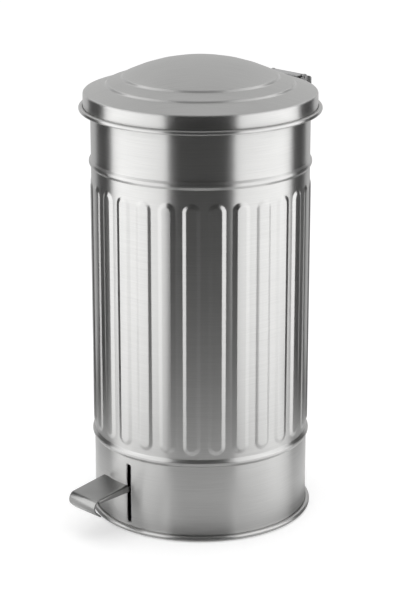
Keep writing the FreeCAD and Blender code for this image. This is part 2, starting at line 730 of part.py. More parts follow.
# Inner bucket, standing on the raised panel
bucket_low = panel_z + floor_sheet / 2
bucket_base = bucket_low + bucket_wall / 2
bucket_rim_mid = bucket_top_z - bucket_wall / 2
wall_low = bucket_bottom_radius - bucket_wall / 2
wall_high = bucket_top_radius - bucket_wall / 2
rim_wall = bucket_rim_radius - bucket_wall / 2
inner_bucket = turned_sheet([(0, bucket_base, 0), (wall_low, bucket_base, bucket_corner),
                             (wall_high, bucket_rim_mid, bucket_rim_corner),
                             (rim_wall, bucket_rim_mid, bucket_rim_corner),
                             (rim_wall, bucket_top_z - bucket_rim_height, 0)], bucket_wall)


def wall_at(z):
    """Radius of the middle of the bucket's wall."""
    return wall_low + (wall_high - wall_low) * (z - bucket_base) / (bucket_rim_mid - bucket_base)


# Ears for the bail and the two rests that it lies on
wire_radius = bail_wire / 2
bail_radius = bucket_rim_radius + bail_gap + wire_radius
bail_z = bucket_top_z - bail_drop
ear_start = wall_at(bail_z)
ear_length = bail_radius - wire_radius - ear_gap - ear_start
rest_top = bail_z - wire_radius - bail_play
rest_low = rest_top - rest_height
for side in (-1, 1):
    ear = rod(ear_diameter / 2, ear_length, Vec(side * ear_start, 0, bail_z), SIDE * side)
    rest = block((-rest_width / 2, rest_width / 2), (-bail_radius, -wall_at(rest_low)), (rest_low, rest_top))
    inner_bucket = inner_bucket.fuse([ear, turned_by(rest, side * rest_angle)])
bail_line = Vec(-bail_radius, 0, bail_z)
inner_bucket = inner_bucket.cut(rod(wire_radius + bail_play, 2 * bail_radius, bail_line, SIDE))

# Bail, folded to the front, with its ends turned in through the ears
bail_centre = Vec(0, 0, bail_z)
front_half = block((-2 * bail_radius, 2 * bail_radius), (-2 * bail_radius, 0), (0, 2 * bail_z))
bail = Part.makeTorus(bail_radius, wire_radius, bail_centre).common(front_half)
for side in (-1, 1):
    corner = Vec(side * bail_radius, 0, bail_z)
    stub = rod(wire_radius, bail_radius - ear_start, corner, SIDE * -side)
    bail = bail.fuse([stub, Part.makeSphere(wire_radius, corner)])
grip_slant = math.tan(math.radians(grip_angle / 2))
grip_wedge = plate([(0, 0), (-2 * bail_radius * grip_slant, -2 * bail_radius),
                    (2 * bail_radius * grip_slant, -2 * bail_radius)],
                   lambda u, v: Vec(u, v, bail_z - grip_diameter), UP * 2 * grip_diameter)
bail_grip = Part.makeTorus(bail_radius, grip_diameter / 2, bail_centre)
bail_grip = bail_grip.cut(Part.makeTorus(bail_radius, wire_radius + grip_fit, bail_centre)).common(grip_wedge)

# One file for each piece, and one for each group of like pieces
save(outer_shell, "outer_shell")
save(base_pan, "base_pan")
save(floor_ring, "floor_ring")
save(inner_floor, "inner_floor")
save(rod_grommet, "rod_grommet")
save(rod_guide, "rod_guide")
save(Part.makeCompound(guide_rivets), "guide_rivets")
save(hinge_bracket, "hinge_bracket")
save(Part.makeCompound(bracket_rivets), "hinge_bracket_rivets")
save(hinge_pin, "hinge_pin")
save(hinge_pin_clip, "hinge_pin_clip")
save(pivot_bracket, "pivot_bracket")
save(Part.makeCompound(pivot_bracket_rivets), "pivot_bracket_rivets")
save(pivot_pin, "pivot_pin")
save(pivot_pin_clip, "pivot_pin_clip")
save(pedal_tread, "pedal_tread")
save(lever_bar, "lever_bar")
save(Part.makeCompound(lever_rivets), "lever_rivets")
save(pivot_bush, "pivot_bush")
save(push_rod, "push_rod")
save(rod_foot, "rod_foot")
save(rod_tip, "rod_tip")
save(lid_shell, "lid_shell")
save(hinge_tongue, "hinge_tongue")
save(lid_striker, "lid_striker")
save(Part.makeCompound(lid_bumpers), "lid_bumpers")
save(inner_bucket, "inner_bucket")
save(bail, "bail_wire")
save(bail_grip, "bail_grip")
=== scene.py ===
"""Looks of a round ribbed pedal bin: smooth sheet pieces, finishes, studio and camera.

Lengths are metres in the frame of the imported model: +Z runs up the bin's axis, -Y points to the pedal
and +Y to the hinge of the lid. An angle around the bin starts at the pedal and grows towards +X.
"""

import json
import logging
import math
from dataclasses import dataclass, field
from enum import Enum, IntEnum
from typing import Callable, Optional, Sequence, Union

import bpy
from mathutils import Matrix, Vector


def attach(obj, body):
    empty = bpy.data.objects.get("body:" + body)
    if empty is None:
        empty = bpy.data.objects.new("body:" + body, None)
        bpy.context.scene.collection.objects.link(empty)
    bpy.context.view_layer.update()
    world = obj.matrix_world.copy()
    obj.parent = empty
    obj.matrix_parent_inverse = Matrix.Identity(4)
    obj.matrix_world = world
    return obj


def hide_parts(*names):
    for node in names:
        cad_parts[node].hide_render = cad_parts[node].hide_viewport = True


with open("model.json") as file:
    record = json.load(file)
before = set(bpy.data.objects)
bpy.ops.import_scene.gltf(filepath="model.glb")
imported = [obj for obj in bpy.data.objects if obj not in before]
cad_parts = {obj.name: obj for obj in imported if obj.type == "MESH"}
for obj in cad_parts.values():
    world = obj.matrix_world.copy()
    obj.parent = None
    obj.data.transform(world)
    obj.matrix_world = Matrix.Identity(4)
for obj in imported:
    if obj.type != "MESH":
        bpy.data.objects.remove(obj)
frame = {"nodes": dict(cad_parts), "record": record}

LOG = logging.getLogger("pedal_bin")
MM = 0.001
UP = Vector((0.0, 0.0, 1.0))

Corner = tuple[float, float, float]
Colour = tuple[float, float, float]
Span = tuple[float, float]
Grid = list[list[int]]
Spot = tuple[Vector, Vector]
Swell = Callable[[float, float], tuple[float, float, float]]

NO_SWELL = (0.0, 0.0, 0.0)


def outward(turn: float) -> Vector:
    """Level direction away from the bin's axis at an angle around it."""
    return Vector((math.sin(turn), -math.cos(turn), 0.0))


def even_turns(count: int) -> list[float]:
    """Equal steps once around the bin."""
    return [2 * math.pi * i / count for i in range(count)]


def between(ends: Span, share: float) -> float:
    """The value at a share of the way from one end to the other."""
    return ends[0] + (ends[1] - ends[0]) * share


# Meshes


@dataclass
class MeshDraft:
    """Points, faces and corner normals of one piece while it is being built."""

    points: list[Vector] = field(default_factory=list)
    faces: list[tuple[int, ...]] = field(default_factory=list)
    normals: list[Vector] = field(default_factory=list)

    def point(self, place: Vector) -> int:
        """Adds a point and gives its number."""
        self.points.append(place)
        return len(self.points) - 1

    def face(self, corners: Sequence[int], normals: Sequence[Vector]) -> None:
        """Adds a face with one normal for each corner."""
        self.faces.append(tuple(corners))
        self.normals.extend(normals)

    def to_object(self, name: str) -> bpy.types.Object:
        """Makes the finished piece.

        Args:
            name: Name of the piece and of its mesh.

        Returns:
            The new object, linked to the scene.
        """
        mesh = bpy.data.meshes.new(name)
        mesh.from_pydata([p[:] for p in self.points], [], self.faces)
        mesh.shade_smooth()
        mesh.normals_split_custom_set([n[:] for n in self.normals])
        piece = bpy.data.objects.new(name, mesh)
        bpy.context.scene.collection.objects.link(piece)
        return piece


class SheetFace(IntEnum):
    """The two faces of a sheet, to the right and to the left of its path."""

    RIGHT = -1
    LEFT = 1


@dataclass(frozen=True)
class PathPoint:
    """A point in the middle of a bent sheet's section, with the normal to the left of the path."""

    u: float
    v: float
    normal: Span


@dataclass(frozen=True)
class SheetPath:
    """Middle line of a bent sheet: corners of (radius from the axis, height, bend radius).

    A bend has a point at least every arc_step degrees. A turn under straight_turn radians is no bend.
    """

    corners: Sequence[Corner]
    arc_step: float = 9.0
    straight_turn: float = 1e-6

    def points(self) -> list[PathPoint]:
        """Samples the path with an exact normal at each point.

        Returns:
            The points from the first corner to the last.
        """
        result: list[PathPoint] = []
        before = self._way(0)
        for i, (u, v, radius) in enumerate(self.corners):
            after = self._way(i) if i < len(self.corners) - 1 else before
            turn = math.atan2(before[0] * after[1] - before[1] * after[0],
                              before[0] * after[0] + before[1] * after[1])
            if abs(turn) < self.straight_turn:
                result.append(PathPoint(u, v, (-after[1], after[0])))
            else:
                result.extend(self._bend(u, v, radius, before, turn))
            before = after
        return result

    def _way(self, i: int) -> Span:
        """Finds the direction of one run.

        Args:
            i: Number of the corner that the run starts at.

        Returns:
            The direction, one unit long.
        """
        du = self.corners[i + 1][0] - self.corners[i][0]
        dv = self.corners[i + 1][1] - self.corners[i][1]
        length = math.hypot(du, dv)
        return du / length, dv / length

    def _bend(self, u: float, v: float, radius: float, before: Span, turn: float) -> list[PathPoint]:
        """Samples one bend.

        Args:
            u: Radius of the corner from the axis.
            v: Height of the corner.
            radius: Bend radius.
            before: Direction of the run that enters the bend.
            turn: Signed angle of the bend.

        Returns:
            The points of the bend, its two ends included.
        """
        side = math.copysign(1.0, turn)
        reach = radius * math.tan(abs(turn) / 2)
        left = (-before[1], before[0])
        centre = (u - before[0] * reach + left[0] * radius * side,
                  v - before[1] * reach + left[1] * radius * side)
        count = max(2, math.ceil(abs(math.degrees(turn)) / self.arc_step))
        points = []
        for k in range(count + 1):
            angle = turn * k / count
            normal = (left[0] * math.cos(angle) - left[1] * math.sin(angle),
                      left[0] * math.sin(angle) + left[1] * math.cos(angle))
            points.append(PathPoint(centre[0] - normal[0] * radius * side,
                                    centre[1] - normal[1] * radius * side, normal))
        return points


@dataclass(frozen=True)
class Slot:
    """An upright slot with round ends, cut where the sheet is a plain cylinder.

    Rings of faces fill the patch around it, which reaches over a span of heights and half an angle to
    each side.
    """

    middle: float
    half_width: float
    low: float
    high: float
    patch: Span
    patch_half: float
    rings: int = 4

    def edge(self, across: float, height: float) -> Span:
        """Finds the point of the slot's edge that faces a point around it.

        Args:
            across: Distance of that point from the slot's middle, along the sheet.
            height: Height of that point.

        Returns:
            The same two measures for the point on the edge.
        """
        core = min(max(height, self.low + self.half_width), self.high - self.half_width)
        away = math.hypot(across, height - core)
        return across / away * self.half_width, core + (height - core) / away * self.half_width


@dataclass
class TurnedSheet:
    """A bent sheet turned around the bin's axis, with pressed ribs and a slot if it has them."""

    path: SheetPath
    thickness: float
    turns: Sequence[float]
    swell: Optional[Swell] = None
    slot: Optional[Slot] = None
    draft: MeshDraft = field(default_factory=MeshDraft)
    first_loop: list[int] = field(default_factory=list)

    def build(self, name: str) -> bpy.types.Object:
        """Builds both faces of the sheet and closes its edges.

        Args:
            name: Name of the new piece.

        Returns:
            The new object.
        """
        rows = self.path.points()
        grids = {side: self._side(rows, side) for side in SheetFace}
        self._edge(grids, rows, len(rows) - 1)
        if rows[0].u > 0:
            self._edge(grids, rows, 0)
        return self.draft.to_object(name)

    def _place(self, turn: float, row: PathPoint, side: SheetFace) -> Spot:
        """Finds one point on one face of the sheet.

        Args:
            turn: Angle around the bin.
            row: Point of the section.
            side: Face of the sheet.

        Returns:
            The position and the normal out of the sheet.
        """
        lift, by_turn, by_height = self.swell(turn, row.v) if self.swell else NO_SWELL
        u = row.u + row.normal[0] * side * self.thickness / 2 + lift
        v = row.v + row.normal[1] * side * self.thickness / 2
        out = outward(turn)
        normal = out * row.normal[0] + UP * row.normal[1]
        if lift or by_turn or by_height:
            along = Vector((math.cos(turn), math.sin(turn), 0.0))
            facing = math.copysign(1.0, row.normal[0])
            normal = normal - (along * (by_turn / u) + UP * by_height) * facing
        return out * u + UP * v, normal.normalized() * side

    def _side(self, rows: Sequence[PathPoint], side: SheetFace) -> Grid:
        """Builds one face of the sheet.

        Args:
            rows: Points of the section.
            side: Face of the sheet.

        Returns:
            The numbers of the points, row by row.
        """
        places = [[self._place(t, r, side) for t in self.turns] for r in rows]
        columns = len(self.turns)
        grid: Grid = []
        for row, spots in zip(rows, places):
            if row.u == 0:
                grid.append([self.draft.point(spots[0][0])] * columns)
            else:
                grid.append([self.draft.point(spot[0]) for spot in spots])
        span = self._patched(rows) if self.slot else None
        for j in range(len(rows) - 1):
            for i in range(columns):
                if span and span[0] <= j < span[1] and (i - span[2]) % columns < span[3]:
                    continue
                n = (i + 1) % columns
                self._quad(grid, places, [(j, i), (j, n), (j + 1, n), (j + 1, i)], side)
        if span:
            self._slot_patch(grid, rows, span, side)
        return grid

    def _quad(self, grid: Grid, places: list[list[Spot]], ring: list[tuple[int, int]],
              side: SheetFace) -> None:
        """Adds one face of the grid, or a triangle where the sheet meets the axis.

        Args:
            grid: Numbers of the sheet's points.
            places: Position and normal of each point.
            ring: Row and column of each corner.
            side: Face of the sheet.
        """
        if side is SheetFace.LEFT:
            ring = ring[::-1]
        seen: dict[int, Vector] = {}
        for j, i in ring:
            seen.setdefault(grid[j][i], places[j][i][1])
        self.draft.face(list(seen), list(seen.values()))

    def _patched(self, rows: Sequence[PathPoint]) -> tuple[int, int, int, int]:
        """Finds the rows and columns of the grid that the slot's patch takes the place of.

        Args:
            rows: Points of the section.

        Returns:
            First row, last row, first column and number of columns.
        """
        slot = self.slot
        low, high = (min(range(len(rows)), key=lambda j: abs(rows[j].v - end)) for end in slot.patch)
        inside = [i for i, t in enumerate(self.turns) if abs(t - slot.middle) <= slot.patch_half]
        return low, high, inside[0], len(inside) - 1

    def _slot_patch(self, grid: Grid, rows: Sequence[PathPoint], span: tuple[int, int, int, int],
                    side: SheetFace) -> None:
        """Fills the patch around the slot with rings of faces.

        Args:
            grid: Numbers of the sheet's points.
            rows: Points of the section.
            span: First row, last row, first column and number of columns of the patch.
            side: Face of the sheet.
        """
        slot = self.slot
        low, high, first, count = span
        last = first + count
        border = [(low, i) for i in range(first, last)] + [(j, last) for j in range(low, high)]
        border += [(high, i) for i in range(last, first, -1)] + [(j, first) for j in range(high, low, -1)]
        radius = rows[low].u
        loops = [[grid[j][i] for j, i in border]]
        facing = [[self._place(self.turns[i], rows[j], side)[1] for j, i in border]]
        for k in range(1, slot.rings + 1):
            share = k / slot.rings
            loop, normals = [], []
            for j, i in border:
                across = (self.turns[i] - slot.middle) * radius
                edge = slot.edge(across, rows[j].v)
                turn = slot.middle + between((across, edge[0]), share) / radius
                height = between((rows[j].v, edge[1]), share)
                place, normal = self._place(turn, PathPoint(radius, height, rows[low].normal), side)
                loop.append(self.draft.point(place))
                normals.append(normal)
            loops.append(loop)
            facing.append(normals)
        total = len(border)
        for k in range(slot.rings):
            for a in range(total):
                b = (a + 1) % total
                ring = [(k, a), (k, b), (k + 1, b), (k + 1, a)]
                ring = ring[::-1] if side is SheetFace.LEFT else ring
                self.draft.face([loops[r][c] for r, c in ring], [facing[r][c] for r, c in ring])
        self._slot_wall(loops[-1])

    def _slot_wall(self, loop: list[int]) -> None:
        """Joins the slot's two edges once both faces of the sheet are there.

        Args:
            loop: Points of the edge on the face that was built last.
        """
        if not self.first_loop:
            self.first_loop = loop
            return
        points = self.draft.points
        total = len(loop)
        for a in range(total):
            b = (a + 1) % total
            ring = [self.first_loop[a], loop[a], loop[b], self.first_loop[b]]
            normal = (points[ring[2]] - points[ring[0]]).cross(points[ring[3]] - points[ring[1]])
            self.draft.face(ring, [normal.normalized()] * len(ring))

    def _edge(self, grids: dict[SheetFace, Grid], rows: Sequence[PathPoint], j: int) -> None:
        """Closes the cut edge of the sheet at one end of its section.

        Args:
            grids: Numbers of the points of both faces.
            rows: Points of the section.
            j: Row of the edge.
        """
        forward = 1 if j else -1
        right, left = grids[SheetFace.RIGHT][j], grids[SheetFace.LEFT][j]
        way = (rows[j].normal[1] * forward, -rows[j].normal[0] * forward)
        columns = len(self.turns)
        for i in range(columns):
            n = (i + 1) % columns
            ring = [right[i], right[n], left[n], left[i]]
            normals = [outward(self.turns[c]) * way[0] + UP * way[1] for c in (i, n, n, i)]
            if forward < 0:
                ring, normals = ring[::-1], normals[::-1]
            self.draft.face(ring, normals)


# Shader nodes


class NodeSheet:
    """Short calls for making and linking the nodes of one tree."""

    looks_up: Span = (0.7, 0.86)

    def __init__(self, tree: bpy.types.NodeTree) -> None:
        """Keeps the tree."""
        self.tree = tree

    def node(self, kind: str, **settings: object) -> bpy.types.Node:
        """Adds a node.

        Args:
            kind: Blender's name of the node type.
            settings: Properties of the node, by name.

        Returns:
            The new node.
        """
        made = self.tree.nodes.new(kind)
        for name, value in settings.items():
            setattr(made, name, value)
        return made

    def feed(self, socket: bpy.types.NodeSocket, source: object) -> None:
        """Links a socket to another one, or sets its value.

        Args:
            socket: The socket to feed.
            source: The other socket, or the value.
        """
        if isinstance(source, bpy.types.NodeSocket):
            self.tree.links.new(source, socket)
        else:
            socket.default_value = source

    def math(self, operation: str, a: object, b: object = 0.0) -> bpy.types.NodeSocket:
        """Works out one value from two.

        Args:
            operation: Blender's name of the operation.
            a: First value.
            b: Second value, where the operation has one.

        Returns:
            The result.
        """
        made = self.node("ShaderNodeMath", operation=operation)
        self.feed(made.inputs[0], a)
        self.feed(made.inputs[1], b)
        return made.outputs[0]

    def times(self, a: object, b: object) -> bpy.types.NodeSocket:
        """The product of two values."""
        return self.math("MULTIPLY", a, b)

    def spread(self, value: object, low: float, high: float, to_low: object = 0.0,
               to_high: object = 1.0) -> bpy.types.NodeSocket:
        """Maps a value from one range to another, clamped.

        Args:
            value: The value.
            low: Start of its range.
            high: End of its range.
            to_low: Start of the new range.
            to_high: End of the new range.

        Returns:
            The mapped value.
        """
        made = self.node("ShaderNodeMapRange")
        for i, source in enumerate((value, low, high, to_low, to_high)):
            self.feed(made.inputs[i], source)
        return made.outputs[0]

    def level(self, share: object, a: object, b: object) -> bpy.types.NodeSocket:
        """A value between two others."""
        return self.spread(share, 0.0, 1.0, a, b)

    def noise(self, vector: object, scale: object, detail: float,
              roughness: float = 0.5) -> bpy.types.NodeSocket:
        """Reads a noise at a place.

        Args:
            vector: The place.
            scale: Scale of the noise.
            detail: Number of finer layers.
            roughness: Weight of the finer layers.

        Returns:
            The noise, from 0 to 1.
        """
        made = self.node("ShaderNodeTexNoise")
        self.feed(made.inputs["Vector"], vector)
        self.feed(made.inputs["Scale"], scale)
        made.inputs["Detail"].default_value = detail
        made.inputs["Roughness"].default_value = roughness
        return made.outputs[0]

    def blend(self, share: object, a: Colour | bpy.types.NodeSocket, b: Colour) -> bpy.types.NodeSocket:
        """Mixes two colours.

        Args:
            share: Share of the second colour.
            a: First colour.
            b: Second colour.

        Returns:
            The mixed colour.
        """
        made = self.node("ShaderNodeMix", data_type="RGBA")
        self.feed(made.inputs["Factor"], share)
        self.feed(made.inputs["A"], (*a, 1) if isinstance(a, tuple) else a)
        self.feed(made.inputs["B"], (*b, 1))
        return made.outputs["Result"]

    def place(self) -> bpy.types.NodeSocket:
        """Position in the piece's own frame."""
        return self.node("ShaderNodeTexCoord").outputs["Object"]

    def split(self, vector: object) -> tuple[bpy.types.NodeSocket, ...]:
        """Takes a vector apart.

        Args:
            vector: The vector.

        Returns:
            Its three parts.
        """
        made = self.node("ShaderNodeSeparateXYZ")
        self.feed(made.inputs[0], vector)
        return tuple(made.outputs)

    def join(self, *parts: object) -> bpy.types.NodeSocket:
        """Puts a vector together.

        Args:
            parts: Its three parts.

        Returns:
            The vector.
        """
        made = self.node("ShaderNodeCombineXYZ")
        for socket, part in zip(made.inputs, parts):
            self.feed(socket, part)
        return made.outputs[0]

    def upward(self) -> bpy.types.NodeSocket:
        """1 on faces that look up in the piece's own frame, 0 on its walls."""
        normal = self.node("ShaderNodeTexCoord").outputs["Normal"]
        return self.spread(self.split(normal)[2], *self.looks_up)

    def surface(self, shader: bpy.types.Node) -> None:
        """Shows a shader on the surface."""
        self.feed(self.node("ShaderNodeOutputMaterial").inputs["Surface"], shader.outputs[0])


class Effect(Enum):
    """Surface effects that the finishes draw on, each one a node group."""

    BRUSHING = "brushing_around"
    GRAIN = "moulded_grain"
    HANDLING = "handling_marks"
    WEAR = "edge_wear"
    DUST = "settled_dust"


class EffectShelf:
    """Builds each effect once and hands out its node group."""

    near_axis: float = 2 * MM
    straight_stretch: float = 6.0

    def __init__(self) -> None:
        """Starts with no group built."""
        self._made: dict[Effect, bpy.types.NodeTree] = {}

    def use(self, sheet: NodeSheet, effect: Effect, **values: float) -> bpy.types.Node:
        """Places an effect in a material.

        Args:
            sheet: Nodes of the material.
            effect: Which effect to place.
            values: Values of its inputs, by name.

        Returns:
            The group node.
        """
        if effect not in self._made:
            makers = {Effect.BRUSHING: self._brushing, Effect.GRAIN: self._grain,
                      Effect.HANDLING: self._handling, Effect.WEAR: self._wear, Effect.DUST: self._dust}
            self._made[effect] = makers[effect]()
        node = sheet.node("ShaderNodeGroup", node_tree=self._made[effect])
        for name, value in values.items():
            node.inputs[name].default_value = value
        return node

    @staticmethod
    def _tree(effect: Effect, inputs: dict[str, float],
              outputs: Sequence[str]) -> tuple[NodeSheet, bpy.types.Node, bpy.types.Node]:
        """Starts a group of plain values.

        Args:
            effect: The effect, which names the group.
            inputs: Names and first values of the inputs.
            outputs: Names of the outputs.

        Returns:
            The group's nodes, its input node and its output node.
        """
        tree = bpy.data.node_groups.new(effect.value, "ShaderNodeTree")
        for name, value in inputs.items():
            socket = tree.interface.new_socket(name, in_out="INPUT", socket_type="NodeSocketFloat")
            socket.default_value = value
        for name in outputs:
            tree.interface.new_socket(name, in_out="OUTPUT", socket_type="NodeSocketFloat")
        sheet = NodeSheet(tree)
        return sheet, sheet.node("NodeGroupInput"), sheet.node("NodeGroupOutput")

    def _brushing(self) -> bpy.types.NodeTree:
        """Draws fine lines that run around the bin on its walls, and straight on faces that look up.

        Returns:
            The group.
        """
        sheet, given, put = self._tree(
            Effect.BRUSHING, {"Fineness": 900.0, "Length": 2.0, "Heading": 0.0}, ("Streak",))
        fine, length = given.outputs["Fineness"], given.outputs["Length"]
        x, y, z = sheet.split(sheet.place())
        squares = sheet.math("ADD", sheet.times(x, x), sheet.times(y, y))
        radius = sheet.math("MAXIMUM", sheet.math("SQRT", squares), self.near_axis)
        around = sheet.join(sheet.times(sheet.math("DIVIDE", x, radius), length),
                            sheet.times(sheet.math("DIVIDE", y, radius), length), sheet.times(z, fine))
        turned = sheet.node("ShaderNodeVectorRotate", rotation_type="Z_AXIS")
        sheet.feed(turned.inputs["Vector"], sheet.place())
        sheet.feed(turned.inputs["Angle"], given.outputs["Heading"])
        along, aside, _ = sheet.split(turned.outputs[0])
        straight = sheet.join(sheet.times(along, sheet.times(length, self.straight_stretch)),
                              sheet.times(aside, fine), 0.0)
        wall_line, top_line = (sheet.noise(lines, scale=1.0, detail=3.0, roughness=0.65)
                               for lines in (around, straight))
        sheet.feed(put.inputs["Streak"], sheet.level(sheet.upward(), wall_line, top_line))
        return sheet.tree

    def _grain(self) -> bpy.types.NodeTree:
        """Draws the fine texture of a moulded or cast surface.

        Returns:
            The group.
        """
        sheet, given, put = self._tree(Effect.GRAIN, {"Scale": 900.0}, ("Height", "Mottle"))
        fine = sheet.noise(sheet.place(), given.outputs["Scale"], detail=3.0, roughness=0.6)
        sheet.feed(put.inputs["Height"], fine)
        sheet.feed(put.inputs["Mottle"], sheet.noise(sheet.place(), scale=14.0, detail=3.0))
        return sheet.tree

    def _handling(self) -> bpy.types.NodeTree:
        """Draws faint smears where hands and cloths have been.

        Returns:
            The group.
        """
        sheet, given, put = self._tree(Effect.HANDLING, {"Scale": 12.0, "Amount": 0.5}, ("Smear",))
        broad = sheet.noise(sheet.place(), given.outputs["Scale"], detail=4.0, roughness=0.6)
        mask = sheet.spread(broad, low=0.48, high=0.72)
        sheet.feed(put.inputs["Smear"], sheet.times(mask, given.outputs["Amount"]))
        return sheet.tree

    def _wear(self) -> bpy.types.NodeTree:
        """Draws a mask along outer edges, broken up a little.

        Returns:
            The group.
        """
        sheet, given, put = self._tree(Effect.WEAR, {"Amount": 0.5}, ("Edge",))
        point = sheet.node("ShaderNodeNewGeometry").outputs["Pointiness"]
        edge = sheet.spread(point, low=0.52, high=0.62)
        patches = sheet.noise(sheet.place(), scale=160.0, detail=3.0)
        broken = sheet.spread(patches, low=0.35, high=0.6, to_low=0.3)
        sheet.feed(put.inputs["Edge"], sheet.times(sheet.times(edge, broken), given.outputs["Amount"]))
        return sheet.tree

    def _dust(self) -> bpy.types.NodeTree:
        """Draws dust on faces that look up.

        Returns:
            The group.
        """
        sheet, given, put = self._tree(Effect.DUST, {"Amount": 0.3}, ("Dust",))
        normal = sheet.node("ShaderNodeNewGeometry").outputs["Normal"]
        upward = sheet.spread(sheet.split(normal)[2], low=0.5, high=1.0)
        patches = sheet.noise(sheet.place(), scale=60.0, detail=4.0, roughness=0.65)
        patchy = sheet.spread(patches, low=0.4, high=0.75, to_low=0.1)
        sheet.feed(put.inputs["Dust"], sheet.times(sheet.times(upward, patchy), given.outputs["Amount"]))
        return sheet.tree


# Finishes


def new_material(name: str) -> tuple[bpy.types.Material, NodeSheet]:
    """Starts a material.

    Args:
        name: Name of the material.

    Returns:
        The material and its nodes.
    """
    material = bpy.data.materials.new(name)
    material.use_nodes = True
    return material, NodeSheet(material.node_tree)


def roughen(sheet: NodeSheet, shader: bpy.types.Node, height: bpy.types.NodeSocket,
            strength: float, depth: float) -> None:
    """Bumps a surface.

    Args:
        sheet: Nodes of the material.
        shader: Its surface shader.
        height: The height, from 0 to 1.
        strength: Strength of the bump.
        depth: Depth of the bump in metres.
    """
    bump = sheet.node("ShaderNodeBump")
    bump.inputs["Strength"].default_value = strength
    bump.inputs["Distance"].default_value = depth
    sheet.feed(bump.inputs["Height"], height)
    sheet.feed(shader.inputs["Normal"], bump.outputs[0])


@dataclass(frozen=True)
class BrushedSheet:
    """Stainless sheet, brushed around the bin and straight over the lid.

    Its reflections blur across the lines. The first roughness is that of the pale streaks.
    """

    name: str
    colour: Colour
    shade: Colour
    roughness: Span
    anisotropy: float
    fineness: float
    heading: float
    smear: float
    stroke: float = 2.2
    smear_scale: float = 11.0
    streak_span: Span = (0.3, 0.7)
    blur_turn: float = 0.25

    def make(self, shelf: EffectShelf) -> bpy.types.Material:
        """Makes the material.

        Args:
            shelf: The shared effects.

        Returns:
            The new material.
        """
        material, sheet = new_material(self.name)
        shader = sheet.tree.nodes["Principled BSDF"]
        brushing = shelf.use(sheet, Effect.BRUSHING, Fineness=self.fineness, Length=self.stroke,
                             Heading=-self.heading)
        handling = shelf.use(sheet, Effect.HANDLING, Scale=self.smear_scale, Amount=self.smear)
        streak = sheet.spread(brushing.outputs["Streak"], *self.streak_span)
        sheet.feed(shader.inputs["Base Color"], sheet.blend(streak, self.shade, self.colour))
        base = sheet.level(streak, self.roughness[1], self.roughness[0])
        sheet.feed(shader.inputs["Roughness"], sheet.math("ADD", base, handling.outputs["Smear"]))
        shader.inputs["Metallic"].default_value = 1.0
        shader.inputs["Anisotropic"].default_value = self.anisotropy
        shader.inputs["Anisotropic Rotation"].default_value = self.blur_turn
        around = sheet.node("ShaderNodeTangent", direction_type="RADIAL", axis="Z")
        straight = sheet.node("ShaderNodeVectorTransform", convert_from="OBJECT", convert_to="WORLD")
        straight.inputs[0].default_value = (math.cos(self.heading), math.sin(self.heading), 0.0)
        lines = sheet.node("ShaderNodeMix", data_type="VECTOR")
        sheet.feed(lines.inputs["Factor"], sheet.upward())
        sheet.feed(lines.inputs["A"], around.outputs[0])
        sheet.feed(lines.inputs["B"], straight.outputs[0])
        sheet.feed(shader.inputs["Tangent"], lines.outputs["Result"])
        return material


@dataclass(frozen=True)
class SatinSteel:
    """Plain satin or plated steel, with faint clouds and brighter edges."""

    name: str
    colour: Colour
    shade: Colour
    roughness: Span
    grain: float
    bump: float
    edge: float
    mottle_span: Span = (0.35, 0.65)
    edge_gain: float = 1.25
    bump_depth: float = 0.05 * MM

    def make(self, shelf: EffectShelf) -> bpy.types.Material:
        """Makes the material.

        Args:
            shelf: The shared effects.

        Returns:
            The new material.
        """
        material, sheet = new_material(self.name)
        shader = sheet.tree.nodes["Principled BSDF"]
        grain = shelf.use(sheet, Effect.GRAIN, Scale=self.grain)
        wear = shelf.use(sheet, Effect.WEAR, Amount=self.edge)
        mottle = sheet.spread(grain.outputs["Mottle"], *self.mottle_span)
        body = sheet.blend(mottle, self.shade, self.colour)
        bright = tuple(min(1.0, c * self.edge_gain) for c in self.colour)
        sheet.feed(shader.inputs["Base Color"], sheet.blend(wear.outputs["Edge"], body, bright))
        sheet.feed(shader.inputs["Roughness"], sheet.level(mottle, self.roughness[1], self.roughness[0]))
        shader.inputs["Metallic"].default_value = 1.0
        roughen(sheet, shader, grain.outputs["Height"], self.bump, self.bump_depth)
        return material


@dataclass(frozen=True)
class Moulding:
    """Moulded plastic or rubber with a fine grain, a little dust and paler edges."""

    name: str
    colour: Colour
    pale: Colour
    roughness: Span
    specular: float
    grain: float
    bump: float
    dust: float
    edge: float = 0.5
    mottle_span: Span = (0.3, 0.7)
    dark_share: float = 0.8
    bump_depth: float = 0.1 * MM

    def make(self, shelf: EffectShelf) -> bpy.types.Material:
        """Makes the material.

        Args:
            shelf: The shared effects.

        Returns:
            The new material.
        """
        material, sheet = new_material(self.name)
        shader = sheet.tree.nodes["Principled BSDF"]
        grain = shelf.use(sheet, Effect.GRAIN, Scale=self.grain)
        wear = shelf.use(sheet, Effect.WEAR, Amount=self.edge)
        dust = shelf.use(sheet, Effect.DUST, Amount=self.dust)
        mottle = sheet.spread(grain.outputs["Mottle"], *self.mottle_span)
        body = sheet.blend(mottle, tuple(c * self.dark_share for c in self.colour), self.colour)
        share = sheet.math("MAXIMUM", wear.outputs["Edge"], dust.outputs["Dust"])
        sheet.feed(shader.inputs["Base Color"], sheet.blend(share, body, self.pale))
        sheet.feed(shader.inputs["Roughness"], sheet.level(mottle, *self.roughness))
        shader.inputs["Specular IOR Level"].default_value = self.specular
        roughen(sheet, shader, grain.outputs["Height"], self.bump, self.bump_depth)
        return material


Finish = Union[BrushedSheet, SatinSteel, Moulding]

